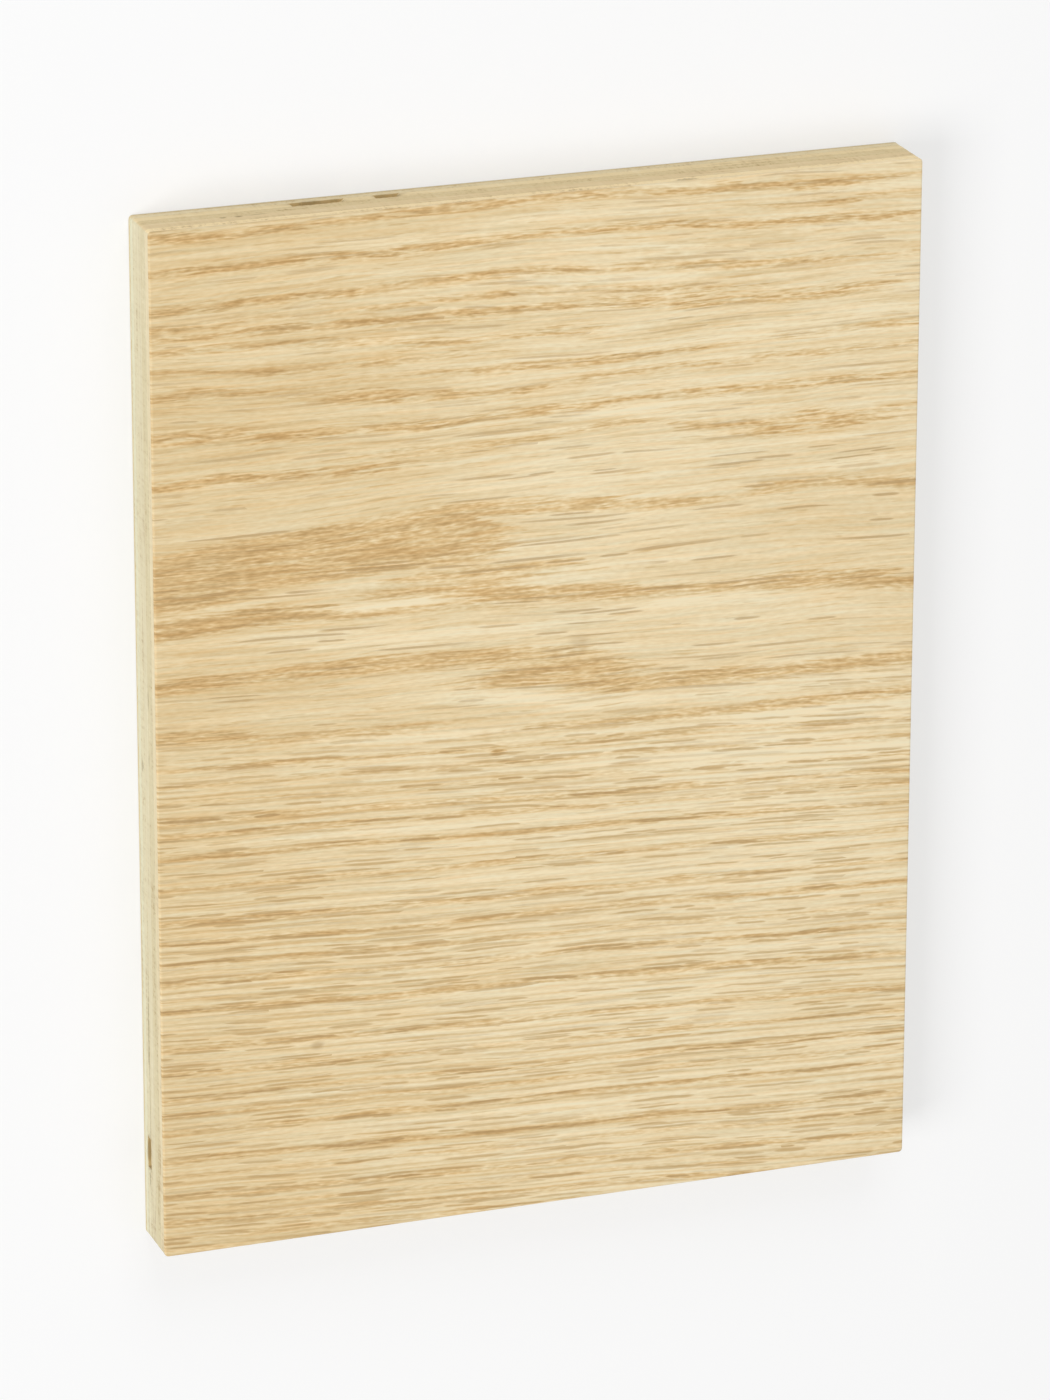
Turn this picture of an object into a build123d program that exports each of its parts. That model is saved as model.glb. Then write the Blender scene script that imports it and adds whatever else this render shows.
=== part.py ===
from build123d import *
import os
from dataclasses import dataclass

# A stair riser of oak-faced plywood, lying on its back with the oak face up.
# X runs along the stair's width and the face grain, Y up the riser, Z out of the face.
# The origin is the middle of the back.

# The sawn blank, in millimetres
RISER_LENGTH = 152.4
RISER_HEIGHT = 203.2
CORNER_RADIUS = 0.8

# The plies, each with its own thickness
FACE_VENEER = 0.6
FACE_CROSSBAND = 2.1
FRONT_CORE = 2.9
CENTRE_CORE = 2.6
REAR_CORE = 2.1
BACK_CROSSBAND = 1.8
BACK_VENEER = 0.6

# Sanded arrises round the two outer faces
FACE_ARRIS = 0.3
BACK_ARRIS = 0.2

# A core gap's mouth is cut this far past the edge, so that it opens cleanly
MOUTH_OVERCUT = 1.0


@dataclass
class CoreGap:
    """A wedge missing from a ply, between two strips or where a knot fell out, which the saw has cut across.

    The mouth's middle is measured along the edge, up from the bottom or in from the left end.
    """

    along_edge: float
    mouth: float
    throat: float
    reach: float

    def plan(self):
        """The wedge seen from above, its mouth across the origin and its reach along +X."""
        corners = [
            (-MOUTH_OVERCUT, -self.mouth / 2),
            (0, -self.mouth / 2),
            (self.reach, -self.throat / 2),
            (self.reach, self.throat / 2),
            (0, self.mouth / 2),
            (-MOUTH_OVERCUT, self.mouth / 2),
        ]
        return Polygon(*corners, align=None) + Pos(self.reach, 0) * Circle(self.throat / 2)

    def on_left_end(self):
        """The wedge opening on the left end, where a joint between two strips of a lengthwise ply runs out."""
        return Pos(-RISER_LENGTH / 2, -RISER_HEIGHT / 2 + self.along_edge) * self.plan()

    def on_top_edge(self):
        """The wedge opening on the top edge, where the cut along a lengthwise ply met a hollow in it."""
        mouth_middle = Pos(-RISER_LENGTH / 2 + self.along_edge, RISER_HEIGHT / 2)
        return mouth_middle * Rot(0, 0, -90) * self.plan()


LEFT_END_GAP = CoreGap(along_edge=17.9, mouth=6.2, throat=2.4, reach=22.0)
TOP_WIDE_GAP = CoreGap(along_edge=35.4, mouth=10.8, throat=5.0, reach=2.0)
TOP_SHORT_GAP = CoreGap(along_edge=49.0, mouth=5.0, throat=2.6, reach=1.2)


def outline():
    """The rectangle that the saw gave every ply, with its corners rounded by sanding."""
    return RectangleRounded(RISER_LENGTH, RISER_HEIGHT, CORNER_RADIUS)


def ply(thickness, gaps=()):
    """One ply, its underside at height zero, less the gaps that show on its edges."""
    plan = outline()
    for gap in gaps:
        plan -= gap
    return extrude(plan, thickness)


def sanded(outer_face, arris, thickness):
    """A veneer with the arris of its outer face eased, no further than the sheet allows."""
    radius = min(arris, thickness / 2, CORNER_RADIUS / 2)
    return fillet(outer_face.edges(), radius)


def face_veneer():
    """The oak sheet, eased round the side that shows."""
    sheet = ply(FACE_VENEER)
    return sanded(sheet.faces().sort_by(Axis.Z)[-1], FACE_ARRIS, FACE_VENEER)


def back_veneer():
    """The plain backing sheet, eased round the side that meets the stair."""
    sheet = ply(BACK_VENEER)
    return sanded(sheet.faces().sort_by(Axis.Z)[0], BACK_ARRIS, BACK_VENEER)


def lay_up():
    """Name, thickness and shape of every ply, from the back to the oak face."""
    core_gaps = [LEFT_END_GAP.on_left_end(), TOP_WIDE_GAP.on_top_edge(), TOP_SHORT_GAP.on_top_edge()]
    return [
        ("back_veneer", BACK_VENEER, back_veneer()),
        ("back_crossband", BACK_CROSSBAND, ply(BACK_CROSSBAND)),
        ("rear_core", REAR_CORE, ply(REAR_CORE, core_gaps)),
        ("centre_core", CENTRE_CORE, ply(CENTRE_CORE)),
        ("front_core", FRONT_CORE, ply(FRONT_CORE)),
        ("face_crossband", FACE_CROSSBAND, ply(FACE_CROSSBAND)),
        ("oak_face_veneer", FACE_VENEER, face_veneer()),
    ]


os.makedirs("parts", exist_ok=True)
glue_line = 0.0
for node, thickness, shape in lay_up():
    export_step(Pos(0, 0, glue_line) * shape, f"parts/{node}.step")
    glue_line += thickness
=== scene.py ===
"""An oak-faced plywood stair riser, lying on its back on a pale studio floor.

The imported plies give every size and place. Each ply is dressed as a piece of its own: the oak face with its
pore lines cut into the surface, the sawn core plies with their open gaps, and the plain backing veneer.
"""

import logging
import math
from dataclasses import dataclass
from enum import Enum
from typing import Any, Mapping, Optional, Sequence, Union

import bmesh
import bpy
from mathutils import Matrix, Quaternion, Vector


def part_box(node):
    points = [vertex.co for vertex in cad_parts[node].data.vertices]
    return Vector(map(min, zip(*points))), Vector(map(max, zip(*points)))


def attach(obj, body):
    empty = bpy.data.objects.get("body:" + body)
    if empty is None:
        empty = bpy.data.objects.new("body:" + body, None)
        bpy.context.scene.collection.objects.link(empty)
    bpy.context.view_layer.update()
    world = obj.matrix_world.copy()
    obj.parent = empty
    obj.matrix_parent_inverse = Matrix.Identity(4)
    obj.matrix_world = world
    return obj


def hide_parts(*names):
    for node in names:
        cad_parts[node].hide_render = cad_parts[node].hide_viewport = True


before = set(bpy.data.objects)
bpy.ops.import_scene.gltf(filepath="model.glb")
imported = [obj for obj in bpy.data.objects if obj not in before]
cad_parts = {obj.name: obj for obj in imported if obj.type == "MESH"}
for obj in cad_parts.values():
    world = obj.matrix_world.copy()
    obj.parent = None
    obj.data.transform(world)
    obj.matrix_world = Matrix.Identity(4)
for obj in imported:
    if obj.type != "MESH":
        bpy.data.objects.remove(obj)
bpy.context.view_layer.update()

LOG = logging.getLogger("riser")
MM = 0.001
PER_MM = 1000.0
BODY = "root"
WELD = 0.005 * MM
SHARP_ANGLE = math.radians(50)

Rgb = tuple[int, int, int]
Rgba = tuple[float, float, float, float]
Stops = Sequence[tuple[float, Rgba]]

WHITE: Rgba = (1.0, 1.0, 1.0, 1.0)


def linear(colour: Rgb) -> Rgba:
    """Turns a screen colour into the linear light that a shader takes.

    Args:
        colour: Red, green and blue as a screen shows them, from 0 to 255.

    Returns:
        The linear red, green, blue and an alpha of one.
    """
    shares = [step / 255 for step in colour]
    light = [s / 12.92 if s <= 0.04045 else ((s + 0.055) / 1.055) ** 2.4 for s in shares]
    return (light[0], light[1], light[2], 1.0)


def grey(level: float) -> Rgba:
    """A colour that carries one plain number through a ramp."""
    return (level, level, level, 1.0)


class Field:
    """One output of a node tree, which Python arithmetic extends with Math nodes."""

    def __init__(self, bench: "Bench", socket: bpy.types.NodeSocket) -> None:
        """Keeps the output and the bench that its tree is built on."""
        self.bench = bench
        self.socket = socket

    def __add__(self, other: "Term") -> "Field":
        """The sum with a number or another field."""
        return self.bench.maths("ADD", self, other)

    def __sub__(self, other: "Term") -> "Field":
        """The difference from a number or another field."""
        return self.bench.maths("SUBTRACT", self, other)

    def __rsub__(self, other: float) -> "Field":
        """A number less this field."""
        return self.bench.maths("SUBTRACT", other, self)

    def __mul__(self, other: "Term") -> "Field":
        """The product with a number or another field."""
        return self.bench.maths("MULTIPLY", self, other)

    def __truediv__(self, other: "Term") -> "Field":
        """The quotient by a number or another field."""
        return self.bench.maths("DIVIDE", self, other)

    def __abs__(self) -> "Field":
        """The field without its sign."""
        return self.bench.maths("ABSOLUTE", self)

    __radd__ = __add__
    __rmul__ = __mul__

    def least(self, other: "Term") -> "Field":
        """The smaller of this and another."""
        return self.bench.maths("MINIMUM", self, other)

    def most(self, other: "Term") -> "Field":
        """The larger of this and another."""
        return self.bench.maths("MAXIMUM", self, other)

    def below(self, limit: "Term") -> "Field":
        """One where the field is under the limit, and zero elsewhere."""
        return self.bench.maths("LESS_THAN", self, limit)

    def above(self, limit: "Term") -> "Field":
        """One where the field is over the limit, and zero elsewhere."""
        return self.bench.maths("GREATER_THAN", self, limit)

    def nearest_whole(self) -> "Field":
        """The field rounded to a whole number."""
        return self.bench.maths("ROUND", self)

    def root(self) -> "Field":
        """The square root."""
        return self.bench.maths("SQRT", self)

    def eased(self, start: float, end: float) -> "Field":
        """A smooth rise from zero at start to one at end, or a fall where end is the lower.

        Args:
            start: Where the field's ease begins.
            end: Where it is complete.

        Returns:
            The eased share, from zero to one.
        """
        low, high = min(start, end), max(start, end)
        rising = (0.0, 1.0) if start < end else (1.0, 0.0)
        return self.bench.field(
            "ShaderNodeMapRange",
            {"interpolation_type": "SMOOTHSTEP", "clamp": True},
            {"Value": self, "From Min": low, "From Max": high, "To Min": rising[0], "To Max": rising[1]},
            "Result",
        )

    def spread(self, low: float, high: float) -> "Field":
        """A share from zero to one, stretched to run from low to high."""
        return self * (high - low) + low


Term = Union[Field, float, int]


class Bench:
    """Adds nodes to one tree, whether it makes a material or a shape."""

    def __init__(self, tree: bpy.types.NodeTree) -> None:
        """Takes the tree that the nodes go into."""
        self.tree = tree

    def add(
        self,
        kind: str,
        settings: Optional[Mapping[str, Any]] = None,
        sockets: Optional[Mapping[Union[str, int], Any]] = None,
    ) -> bpy.types.Node:
        """Adds a node, sets it up, and fills or links its inputs.

        Args:
            kind: The node's Blender type.
            settings: Its properties, set before the inputs. The name stops gives a ramp its colours.
            sockets: Values or fields by the input's identifier, name or number.

        Returns:
            The new node.
        """
        node = self.tree.nodes.new(kind)
        for name, value in (settings or {}).items():
            if name == "stops":
                self._fill_ramp(node.color_ramp, value)
            elif name == "ease":
                node.color_ramp.interpolation = value
            else:
                setattr(node, name, value)
        for key, value in (sockets or {}).items():
            socket = self._input(node, key)
            if isinstance(value, Field):
                self.tree.links.new(value.socket, socket)
            else:
                socket.default_value = value
        return node

    @staticmethod
    def _fill_ramp(ramp: bpy.types.ColorRamp, stops: Stops) -> None:
        """Gives a colour ramp its stops.

        Args:
            ramp: The ramp to fill.
            stops: Each stop's place and colour, in order.
        """
        while len(ramp.elements) > 1:
            ramp.elements.remove(ramp.elements[-1])
        for index, (place, colour) in enumerate(stops):
            element = ramp.elements[0] if index == 0 else ramp.elements.new(place)
            element.position = place
            element.color = colour

    @staticmethod
    def _input(node: bpy.types.Node, key: Union[str, int]) -> bpy.types.NodeSocket:
        """Finds one of a node's inputs.

        Args:
            node: The node to look in.
            key: The input's number, identifier or name.

        Returns:
            The input.
        """
        if isinstance(key, int):
            return node.inputs[key]
        for socket in node.inputs:
            if socket.identifier == key:
                return socket
        return node.inputs[key]

    def output(self, node: bpy.types.Node, key: Union[str, int] = 0) -> Field:
        """A node's output as a field.

        Args:
            node: The node to read.
            key: The output's number, identifier or name.

        Returns:
            The field.
        """
        if isinstance(key, str):
            for socket in node.outputs:
                if socket.identifier == key:
                    return Field(self, socket)
        return Field(self, node.outputs[key])

    def field(
        self,
        kind: str,
        settings: Optional[Mapping[str, Any]] = None,
        sockets: Optional[Mapping[Union[str, int], Any]] = None,
        key: Union[str, int] = 0,
    ) -> Field:
        """Adds a node and gives one of its outputs.

        Args:
            kind: The node's Blender type.
            settings: Its properties.
            sockets: Values or fields by the input's identifier, name or number.
            key: The output's number, identifier or name.

        Returns:
            The field.
        """
        return self.output(self.add(kind, settings, sockets), key)

    def maths(self, operation: str, *terms: Term) -> Field:
        """One Math node on numbers and fields."""
        return self.field("ShaderNodeMath", {"operation": operation}, dict(enumerate(terms)))

    def vector(self, x: Term, y: Term, z: Term = 0.0) -> Field:
        """Three numbers as one vector."""
        return self.field("ShaderNodeCombineXYZ", {}, {"X": x, "Y": y, "Z": z})

    def parts(self, vector: Field) -> tuple[Field, Field, Field]:
        """A vector's or a colour's three numbers."""
        node = self.add("ShaderNodeSeparateXYZ", {}, {"Vector": vector})
        return self.output(node, 0), self.output(node, 1), self.output(node, 2)

    def noise(self, at: Field, detail: float = 2.0, roughness: float = 0.5) -> Field:
        """Soft noise from zero to one, with features about one unit of the vector across.

        Args:
            at: Where to read it, already stretched to the size of the features.
            detail: How many finer layers it has.
            roughness: How strong those finer layers are.

        Returns:
            The noise.
        """
        sockets = {"Vector": at, "Scale": 1.0, "Detail": detail, "Roughness": roughness}
        return self.field("ShaderNodeTexNoise", {}, sockets, "Fac")

    def fuzz(self, at: Field, detail: float = 2.0, roughness: float = 0.5) -> Field:
        """Soft noise about zero that strays by about one.

        Args:
            at: Where to read it, already stretched to the size of the features.
            detail: How many finer layers it has.
            roughness: How strong those finer layers are.

        Returns:
            The noise.
        """
        layers = [roughness**number for number in range(int(detail) + 1)]
        stray = 0.13 * math.sqrt(sum(layer**2 for layer in layers)) / sum(layers)
        return (self.noise(at, detail, roughness) - 0.5) / stray

    def blend(self, share: Term, first: Any, second: Any) -> Field:
        """A mix of two colours.

        Args:
            share: How much of the second colour shows.
            first: A colour or a field.
            second: A colour or a field.

        Returns:
            The mixed colour.
        """
        sockets = {"Factor_Float": share, "A_Color": first, "B_Color": second}
        return self.field("ShaderNodeMix", {"data_type": "RGBA"}, sockets, "Result_Color")

    def ramp(self, value: Field, stops: Stops, ease: str = "LINEAR") -> Field:
        """The colour that a ramp gives to a number."""
        return self.field("ShaderNodeValToRGB", {"stops": stops, "ease": ease}, {"Fac": value}, "Color")


def new_piece(name: str, mesh: bpy.types.Mesh) -> bpy.types.Object:
    """Puts a mesh into the scene as an object at the origin.

    Args:
        name: The piece's name.
        mesh: Its mesh, in place.

    Returns:
        The object.
    """
    piece = bpy.data.objects.new(name, mesh)
    bpy.context.scene.collection.objects.link(piece)
    return piece


def new_material(name: str) -> tuple[bpy.types.Material, Bench]:
    """Makes an empty node material.

    Args:
        name: The finish's name.

    Returns:
        The material and a bench on its tree.
    """
    material = bpy.data.materials.new(name)
    material.use_nodes = True
    material.node_tree.nodes.clear()
    return material, Bench(material.node_tree)


def end_material(bench: Bench, sockets: Mapping[str, Any]) -> None:
    """Ends a material's tree in one plain shader.

    Args:
        bench: The bench on the material's tree.
        sockets: The shader's values and fields.
    """
    surface = bench.field("ShaderNodeBsdfPrincipled", {}, sockets, "BSDF")
    bench.add("ShaderNodeOutputMaterial", {}, {"Surface": surface})


def new_shape_tree(name: str, inputs: Mapping[str, str]) -> Bench:
    """Makes an empty geometry tree with named inputs and one shape out.

    Args:
        name: The tree's name.
        inputs: Each input's name and socket type, in order.

    Returns:
        A bench on the tree.
    """
    tree = bpy.data.node_groups.new(name, "GeometryNodeTree")
    for label, kind in inputs.items():
        tree.interface.new_socket(name=label, in_out="INPUT", socket_type=kind)
    tree.interface.new_socket(name="Shape", in_out="OUTPUT", socket_type="NodeSocketGeometry")
    return Bench(tree)


def end_shape(bench: Bench, shape: Field, finish: Field) -> bpy.types.NodeTree:
    """Ends a geometry tree in a plain mesh with its material.

    Args:
        bench: The bench on the geometry tree.
        shape: The finished shape.
        finish: The material.

    Returns:
        The tree.
    """
    whole = bench.field("GeometryNodeRealizeInstances", {}, {"Geometry": shape})
    dressed = bench.field("GeometryNodeSetMaterial", {}, {"Geometry": whole, "Material": finish})
    bench.add("NodeGroupOutput", {}, {"Shape": dressed})
    return bench.tree


def grow(piece: bpy.types.Object, tree: bpy.types.NodeTree, inputs: Mapping[str, Any]) -> None:
    """Runs a geometry tree on a piece and leaves the result as its plain mesh.

    Args:
        piece: The object whose mesh goes in and is replaced.
        tree: The geometry tree.
        inputs: The values of the tree's named inputs.
    """
    modifier = piece.modifiers.new(tree.name, "NODES")
    modifier.node_group = tree
    entries = [item for item in tree.interface.items_tree if item.in_out == "INPUT"]
    identifiers = {item.name: item.identifier for item in entries}
    for name, value in inputs.items():
        modifier[identifiers[name]] = value
    depsgraph = bpy.context.evaluated_depsgraph_get()
    result = bpy.data.meshes.new_from_object(piece.evaluated_get(depsgraph), depsgraph=depsgraph)
    result.name = piece.name
    piece.modifiers.remove(modifier)
    piece.data = result


def seat(piece: bpy.types.Object, node: str) -> None:
    """Puts a finished piece in place of its packed ply.

    Args:
        piece: The piece, at its place in the frame.
        node: The ply that it stands for.
    """
    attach(piece, BODY)
    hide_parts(node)
    piece.data.calc_loop_triangles()
    LOG.info("%s stands for %s: %d triangles", piece.name, node, len(piece.data.loop_triangles))


class GrainRun(Enum):
    """Which way a ply's fibres lie."""

    LENGTHWISE = "along the riser"
    CROSSWISE = "up the riser"


@dataclass(frozen=True)
class Ring:
    """One year's thin line of growth: its place down the left end, and how strongly it shows."""

    place: float
    strength: float


@dataclass(frozen=True)
class FigureBand:
    """A band of spring or summer growth, widening and narrowing as it goes.

    Each station gives the distance from the left end, the distance from the top edge to the band's middle,
    its half width, all in millimetres, and how strongly it shows. Between two stations of no strength the
    band ends, and the next one starts elsewhere.
    """

    stations: tuple[tuple[float, float, float, float], ...]


@dataclass(frozen=True)
class Fleck:
    """A small mark on the face: its place from the left end and the top edge, and its half sizes."""

    from_left: float
    from_top: float
    half_length: float
    half_width: float
    strength: float


@dataclass(frozen=True)
class Strokes:
    """One layer of short lines along the grain.

    The pitch and the gauge are their spacing along and across the grain, the share is how many places hold
    one, and the half widths run from the thinnest to the thickest.
    """

    pitch: float
    gauge: float
    share: float
    thinnest: float
    thickest: float
    seed: float


@dataclass(frozen=True)
class Texture:
    """One soft texture of the wood: how long and broad its features are, and how the noise is read."""

    length: float
    breadth: float
    seed: float
    detail: float = 1.0
    roughness: float = 0.5

    def over(self, bench: Bench, along: Field, across: Field) -> Field:
        """The texture about zero, straying by about one."""
        at = bench.vector(along / self.length, across / self.breadth, self.seed)
        return bench.fuzz(at, self.detail, self.roughness)


@dataclass(frozen=True)
class Fibres:
    """Where a point lies among the fibres, in millimetres, and the fine lines that are cut there.

    The level is where the point's fibre meets the left end, and lower rises to one below the heart.
    """

    left: Field
    down: Field
    wander: Field
    level: Field
    frayed: Field
    lower: Field
    pore_lines: Field
    strokes: Field

    def groove(self) -> Field:
        """How far the surface is cut in, from zero to one."""
        return self.pore_lines.most(self.strokes * self.lower) * 0.8


@dataclass(frozen=True)
class Growth:
    """The growth at a point and what strews it, each as a share or straying about zero.

    Spring growth, in rings and bands, is dark. Summer growth and the pale bands are light. The heart is one
    among the islands, the steady lines and the strokes lie below it, and the streaks lie everywhere.
    """

    rings: Field
    bands: Field
    spring: Field
    summer: Field
    pale: Field
    heart: Field
    streaks: Field
    short_streaks: Field
    broad: Field
    steady: Field
    strokes: Field


@dataclass(frozen=True)
class OakGrain:
    """What the grain says at a point.

    The tone runs from dark at zero to pale at one, leaving out the pore lines, which have their own field.
    The warmth runs from greyish at zero to reddish at one.
    """

    tone: Field
    warmth: Field
    pores: Field


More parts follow.
